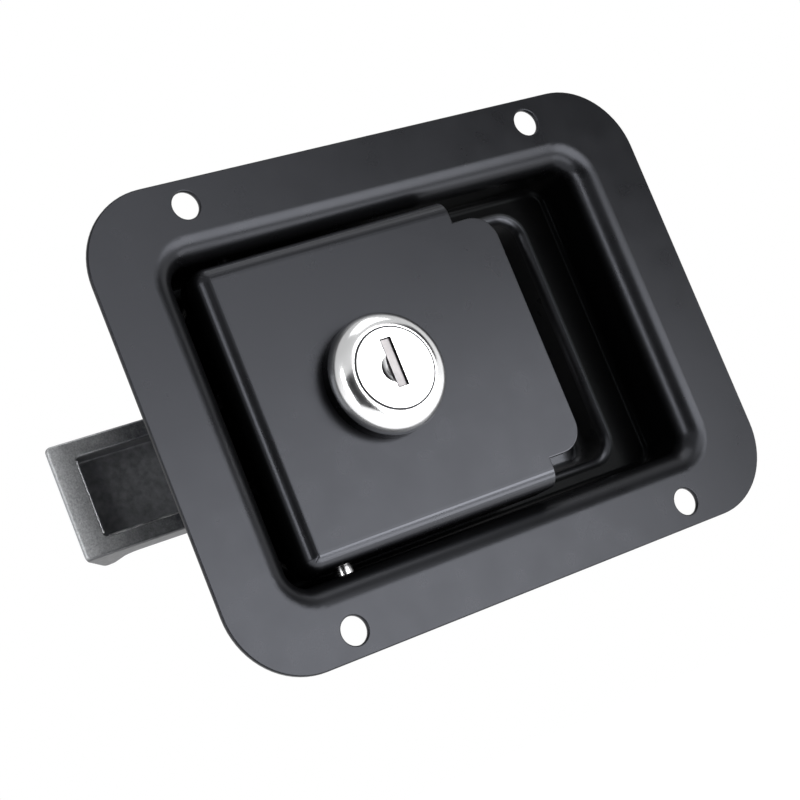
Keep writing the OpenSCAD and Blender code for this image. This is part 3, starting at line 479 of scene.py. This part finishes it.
dress("paddle_cover", "paddle", cover_mesh(), [cover_coat, fold_sheen_coat])
dress("bolt_casting", "bolt", softened("bolt", 0.4 * MM))
dress("guide_channel", "bolt_guide", softened("bolt_guide", 0.25 * MM))
dress("pivot_pin", "hinge_pin", softened("hinge_pin", 0.2 * MM), [pin_steel])
dress("cam_plate", "cam", softened("cam", 0.2 * MM))
dress("pull_rod", "bolt_rod", softened("bolt_rod", 0.2 * MM))


def body_mesh():
    """The cylinder's body, with the straight foot of its bezel painted dark as shade, in a material of its
    own.
    """
    foot_inner, foot_top = BARREL_R + 0.5, BEZEL_SIDE - 0.05
    bm = softened("lock_body", 0.15 * MM)
    to_lock = ON_LOCK.inverted()
    bm.normal_update()
    for f in bm.faces:
        p = to_lock @ (f.calc_center_median() / MM)
        if math.hypot(p.x, p.y) > foot_inner and p.z < foot_top:
            f.material_index = 1
    return bm


dress("cylinder_body", "lock_body", body_mesh(), [chrome, foot_shade])


def cap_mesh():
    """The plug's cap, a little smaller than its node so that a seam shows, with its slot walls painted dark
    as shade and a dish of painted shade and reflection.
    """
    rim_inner, seam_gap = HEAD_R - 0.6, 0.2
    hollow_r, below_face, dish_right = HEAD_R - 1.5, HEAD_TOP - 0.02, KEY_X - KEY_W / 2 - 0.02
    level, upright = 0.999, 0.2
    slot_wall, dish = 1, 2
    bm = softened("plug_cap", 0.08 * MM)
    to_lock = ON_LOCK.inverted()
    for v in bm.verts:
        p = to_lock @ (v.co / MM)
        if math.hypot(p.x, p.y) > rim_inner:
            share = (HEAD_R - seam_gap) / HEAD_R
            v.co = (ON_LOCK @ Vector((p.x * share, p.y * share, p.z))) * MM
    bm.normal_update()
    axis = (ON_LOCK.to_3x3() @ Vector((0, 0, 1))).normalized()
    for f in bm.faces:
        p = to_lock @ (f.calc_center_median() / MM)
        facing = f.normal.dot(axis)
        if math.hypot(p.x, p.y) < hollow_r and p.z < below_face and facing < level:
            f.material_index = dish if p.x < dish_right and facing > upright else slot_wall
    return bm


dress("plug_face", "plug_cap", cap_mesh(), [cap_finish, slot_shade, dish_shade])


def lathe(profile, steps, place):
    """A closed ring: the profile's (radius, height) points in mm, turned round the frame's Z."""
    bm = bmesh.new()
    rings = []
    for i in range(steps):
        a = 2 * math.pi * i / steps
        points = [Vector((r * math.cos(a), r * math.sin(a), h)) for r, h in profile]
        rings.append([bm.verts.new((place @ p) * MM) for p in points])
    for i in range(steps):
        a, b = rings[i], rings[(i + 1) % steps]
        for k in range(len(profile)):
            m = (k + 1) % len(profile)
            bm.faces.new((a[k], b[k], b[m], a[m]))
    bmesh.ops.recalc_face_normals(bm, faces=bm.faces)
    return bm


# A dark ring sunk in the seam round the plug: painted shade in the groove
seam = [(HEAD_R - 0.28, HEAD_TOP - 0.5), (HEAD_R + 0.12, HEAD_TOP - 0.5), (HEAD_R + 0.12, HEAD_TOP - 0.32),
        (HEAD_R - 0.08, HEAD_TOP - 0.26), (HEAD_R - 0.28, HEAD_TOP - 0.32)]
new_piece("plug_seam", lathe(seam, steps=128, place=ON_LOCK), [slot_shade], "paddle")


def tube(points, radius, sides):
    """Round wire along points, with closed ends."""
    bm = bmesh.new()
    rings = []
    normal = None
    for i, p in enumerate(points):
        ahead = (points[min(i + 1, len(points) - 1)] - points[max(i - 1, 0)]).normalized()
        if normal is None:
            normal = ahead.orthogonal()
        normal = (normal - normal.dot(ahead) * ahead).normalized()
        side = ahead.cross(normal)
        rings.append([bm.verts.new((p + radius * (math.cos(a) * normal + math.sin(a) * side)) * MM)
                      for a in (2 * math.pi * k / sides for k in range(sides))])
    for a, b in zip(rings, rings[1:]):
        for k in range(sides):
            m = (k + 1) % sides
            bm.faces.new((a[k], a[m], b[m], b[k]))
    bm.faces.new(reversed(rings[0]))
    bm.faces.new(rings[-1])
    bmesh.ops.recalc_face_normals(bm, faces=bm.faces)
    return bm


def bolt_spring_path():
    """Compression spring with its end turns set closer, in mm, and its wire's radius."""
    low, high = (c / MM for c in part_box("bolt_spring"))
    wire_r, steps, turns, closing = 0.5, 28, 10, 0.016
    coil_r = (high.z - low.z) / 2 - wire_r
    axis_y = (low.y + high.y) / 2
    x0, x1 = low.x + wire_r, high.x - wire_r
    count = steps * turns
    points = []
    for i in range(count + 1):
        share = i / count
        eased = share - closing * math.sin(2 * math.pi * share)
        a = 2 * math.pi * i / steps
        points.append(Vector((x0 + (x1 - x0) * eased, axis_y - coil_r * math.sin(a), coil_r * math.cos(a))))
    return points, wire_r


path, wire_r = bolt_spring_path()
spring = new_piece("return_spring", tube(path, wire_r, sides=12), [wire_steel], "housing")
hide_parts("bolt_spring")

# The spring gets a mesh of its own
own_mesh(spring)


def hinge_spring_path():
    """Torsion spring on the hinge pin, from its leg on the floor to its leg under the cover, in mm."""
    coil_r, cover_end, floor_end = 2.9, 8.1, 14.85
    cover_angle, sweep, count = 60, 1815, 140
    points = [Vector((9.5, floor_end, -12.8)), Vector((4.4, floor_end, -4.6))]
    for i in range(count, -1, -1):
        a = math.radians(cover_angle - sweep * i / count)
        y = cover_end + (floor_end - cover_end) * i / count
        points.append(Vector((coil_r * math.cos(a), y, coil_r * math.sin(a))))
    points += [Vector((-2.2, cover_end, 3.8)), Vector((-5.7, cover_end, 4.99))]
    return [PLATE @ (PIN + p) for p in points]


hinge_wire = tube(hinge_spring_path(), radius=0.6, sides=12)
hinge_spring = new_piece("hinge_spring", hinge_wire, [wire_steel], None)
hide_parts("paddle_spring")
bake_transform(hinge_spring)


def cast_flash(name, points, inward, seed, material):
    """Ragged thin edge that the mould left along the points, given in metres, at the bolt's pocket."""
    least_width, more_width, height, root, inner_share = 0.08, 0.16, 0.05, 0.3, 0.8
    chance = random.Random(seed)
    bm = bmesh.new()
    rows = []
    for i, p in enumerate(points):
        ragged = 0.35 + 0.65 * chance.random() ** 2
        wide = (least_width + more_width * ragged) * MM
        tall = height * MM * ragged if 0 < i < len(points) - 1 else 0
        out = Vector((0, -1, 0))
        rows.append([bm.verts.new(p - inward * wide), bm.verts.new(p + out * tall),
                     bm.verts.new(p + inward * wide * inner_share), bm.verts.new(p - out * root * MM)])
    for a, b in zip(rows, rows[1:]):
        for k in range(4):
            m = (k + 1) % 4
            bm.faces.new((a[k], a[m], b[m], b[k]))
    bm.faces.new(rows[0])
    bm.faces.new(reversed(rows[-1]))
    bmesh.ops.recalc_face_normals(bm, faces=bm.faces)
    return new_piece(name, bm, [material], "bolt")


# The pocket's left end and half its height, the gap that its corner takes, and the step from point to point
POCKET_X, POCKET_Z, CORNER, STEP = bolt_tip.x + 4.4 * MM, 7 * MM, 0.6 * MM, 0.4 * MM
low_edge = [Vector((POCKET_X + CORNER + STEP * i, bolt_tip.y, -POCKET_Z)) for i in range(50)]
left_edge = [Vector((POCKET_X, bolt_tip.y, STEP * i - POCKET_Z + CORNER)) for i in range(33)]
cast_flash("flash_low", low_edge, Vector((0, 0, 1)), seed=3, material=flash_finish)
cast_flash("flash_end", left_edge, Vector((1, 0, 0)), seed=8, material=zinc)

# Floor, world, lamps and boards. The floor's height and half its side are in metres. Its paper glows
FLOOR_Z, FLOOR_HALF = -0.28, 3.0
GLOW, GLOW_SHARE = 1.25, 0.85

# Strength of the soft fill, and the greys that a mirror sees from level to overhead
FILL = 0.25
OVERHEAD = ((0.04, 0.95), (0.3, 0.72), (0.8, 0.55))


def light_path(tree, *names):
    """1 for the rays named, and 0 for the others."""
    path = tree.nodes.new("ShaderNodeLightPath")
    last = path.outputs[names[0]]
    for name in names[1:]:
        either = tree.nodes.new("ShaderNodeMath")
        either.operation = "MAXIMUM"
        tree.links.new(last, either.inputs[0])
        tree.links.new(path.outputs[name], either.inputs[1])
        last = either.outputs[0]
    return last


def studio_world(fill_strength):
    """White to the camera, greyer to a mirror towards the ceiling, and a soft fill on the object."""
    world = bpy.data.worlds.new("studio")
    bpy.context.scene.world = world
    world.use_nodes = True
    tree = world.node_tree
    tree.nodes.clear()
    fill, mirrored, seen = (tree.nodes.new("ShaderNodeBackground") for _ in range(3))
    fill.inputs["Color"].default_value = (0.95, 0.97, 1.0, 1)
    fill.inputs["Strength"].default_value = fill_strength
    up = tree.nodes.new("ShaderNodeSeparateXYZ")
    tree.links.new(tree.nodes.new("ShaderNodeTexCoord").outputs["Generated"], up.inputs[0])
    ramp = tree.nodes.new("ShaderNodeValToRGB")
    elements = ramp.color_ramp.elements
    elements.new(0.5)
    for element, (at, shade) in zip(elements, OVERHEAD):
        element.position = at
        element.color = (shade, shade, shade, 1)
    tree.links.new(up.outputs["Z"], ramp.inputs["Fac"])
    tree.links.new(ramp.outputs["Color"], mirrored.inputs["Color"])
    last = fill
    for rays, shade in ((("Is Glossy Ray", "Is Transmission Ray"), mirrored), (("Is Camera Ray",), seen)):
        mix = tree.nodes.new("ShaderNodeMixShader")
        tree.links.new(light_path(tree, *rays), mix.inputs["Fac"])
        tree.links.new(last.outputs[0], mix.inputs[1])
        tree.links.new(shade.outputs[0], mix.inputs[2])
        last = mix
    seen.inputs["Color"].default_value = (1, 1, 1, 1)
    out = tree.nodes.new("ShaderNodeOutputWorld")
    tree.links.new(last.outputs[0], out.inputs["Surface"])


def flat_sheet(name, corners, material):
    """One face of the studio, which is no piece of the object."""
    mesh = bpy.data.meshes.new(name)
    mesh.from_pydata(corners, [], [(0, 1, 2, 3)])
    mesh.materials.append(material)
    obj = bpy.data.objects.new(name, mesh)
    bpy.context.scene.collection.objects.link(obj)
    return obj


def studio_floor(half, z):
    """White paper that glows to the camera and in reflections, and takes the object's shadow."""
    paper = Nodes("floor_paper")
    paper.set(Base_Color=(0.9, 0.9, 0.9, 1), Roughness=0.9)
    glow = paper.add("ShaderNodeEmission")
    glow.inputs["Strength"].default_value = GLOW
    share = paper.add("ShaderNodeMath", operation="MULTIPLY")
    share.inputs[1].default_value = GLOW_SHARE
    seen_by = light_path(paper.tree, "Is Camera Ray", "Is Glossy Ray", "Is Transmission Ray")
    paper.join(seen_by, share.inputs[0])
    mix = paper.add("ShaderNodeMixShader")
    paper.join(share.outputs[0], mix.inputs["Fac"])
    paper.join(paper.shader.outputs[0], mix.inputs[1])
    paper.join(glow.outputs[0], mix.inputs[2])
    paper.join(mix.outputs[0], paper.tree.nodes["Material Output"].inputs["Surface"])
    flat_sheet("floor", [(-half, -half, z), (half, -half, z), (half, half, z), (-half, half, z)], paper.mat)


def towards(azimuth, elevation, distance):
    """A point seen from the object: azimuth from the front towards +X, in degrees."""
    a, e = math.radians(azimuth), math.radians(elevation)
    return distance * Vector((math.cos(e) * math.sin(a), -math.cos(e) * math.cos(a), math.sin(e)))


def aimed(obj, azimuth, elevation, distance):
    obj.location = towards(azimuth, elevation, distance)
    obj.rotation_euler = (-obj.location).to_track_quat("-Z", "Y").to_euler()


def lamp(name, azimuth, elevation, distance, width, height, radiance):
    """A softbox aimed at the object, which the camera doesn't see."""
    data = bpy.data.lights.new(name, "AREA")
    data.shape = "RECTANGLE"
    data.size = width
    data.size_y = height
    data.energy = radiance * math.pi * width * height
    obj = bpy.data.objects.new(name, data)
    bpy.context.scene.collection.objects.link(obj)
    obj.visible_camera = False
    aimed(obj, azimuth, elevation, distance)


def dark_board(name, azimuth, elevation, distance, width, height):
    """A black board that takes the light out of part of the reflections, as in a product studio."""
    felt = Nodes(name + "_felt")
    felt.set(Base_Color=(0.02, 0.02, 0.022, 1), Roughness=1.0, Specular_IOR_Level=0.0)
    w, h = width / 2, height / 2
    board = flat_sheet(name, [(-w, -h, 0), (w, -h, 0), (w, h, 0), (-w, h, 0)], felt.mat)
    for kind in ("camera", "diffuse", "transmission", "shadow"):
        setattr(board, "visible_" + kind, False)
    aimed(board, azimuth, elevation, distance)


studio_world(FILL)
studio_floor(FLOOR_HALF, FLOOR_Z)

# Azimuth and elevation in degrees, then distance, width and height in metres, and a lamp's radiance
lamp("softbox", 21, -9, 0.5, 0.36, 0.3, 5.6)
lamp("softbox_under", 20, -50, 0.34, 0.4, 0.14, 3)
lamp("strip_left", -60, 2, 0.27, 0.05, 0.22, 7)
lamp("softbox_upper", 14, 20, 0.5, 0.18, 0.18, 2.3)
lamp("softbox_top", 36, 63, 0.7, 0.45, 0.4, 1.5)
dark_board("board_behind_camera", -26, -5, 0.46, 0.42, 0.34)
dark_board("board_upper_right", 50, 18, 0.46, 0.2, 0.2)
dark_board("board_low", 12, -31, 0.46, 0.3, 0.03)
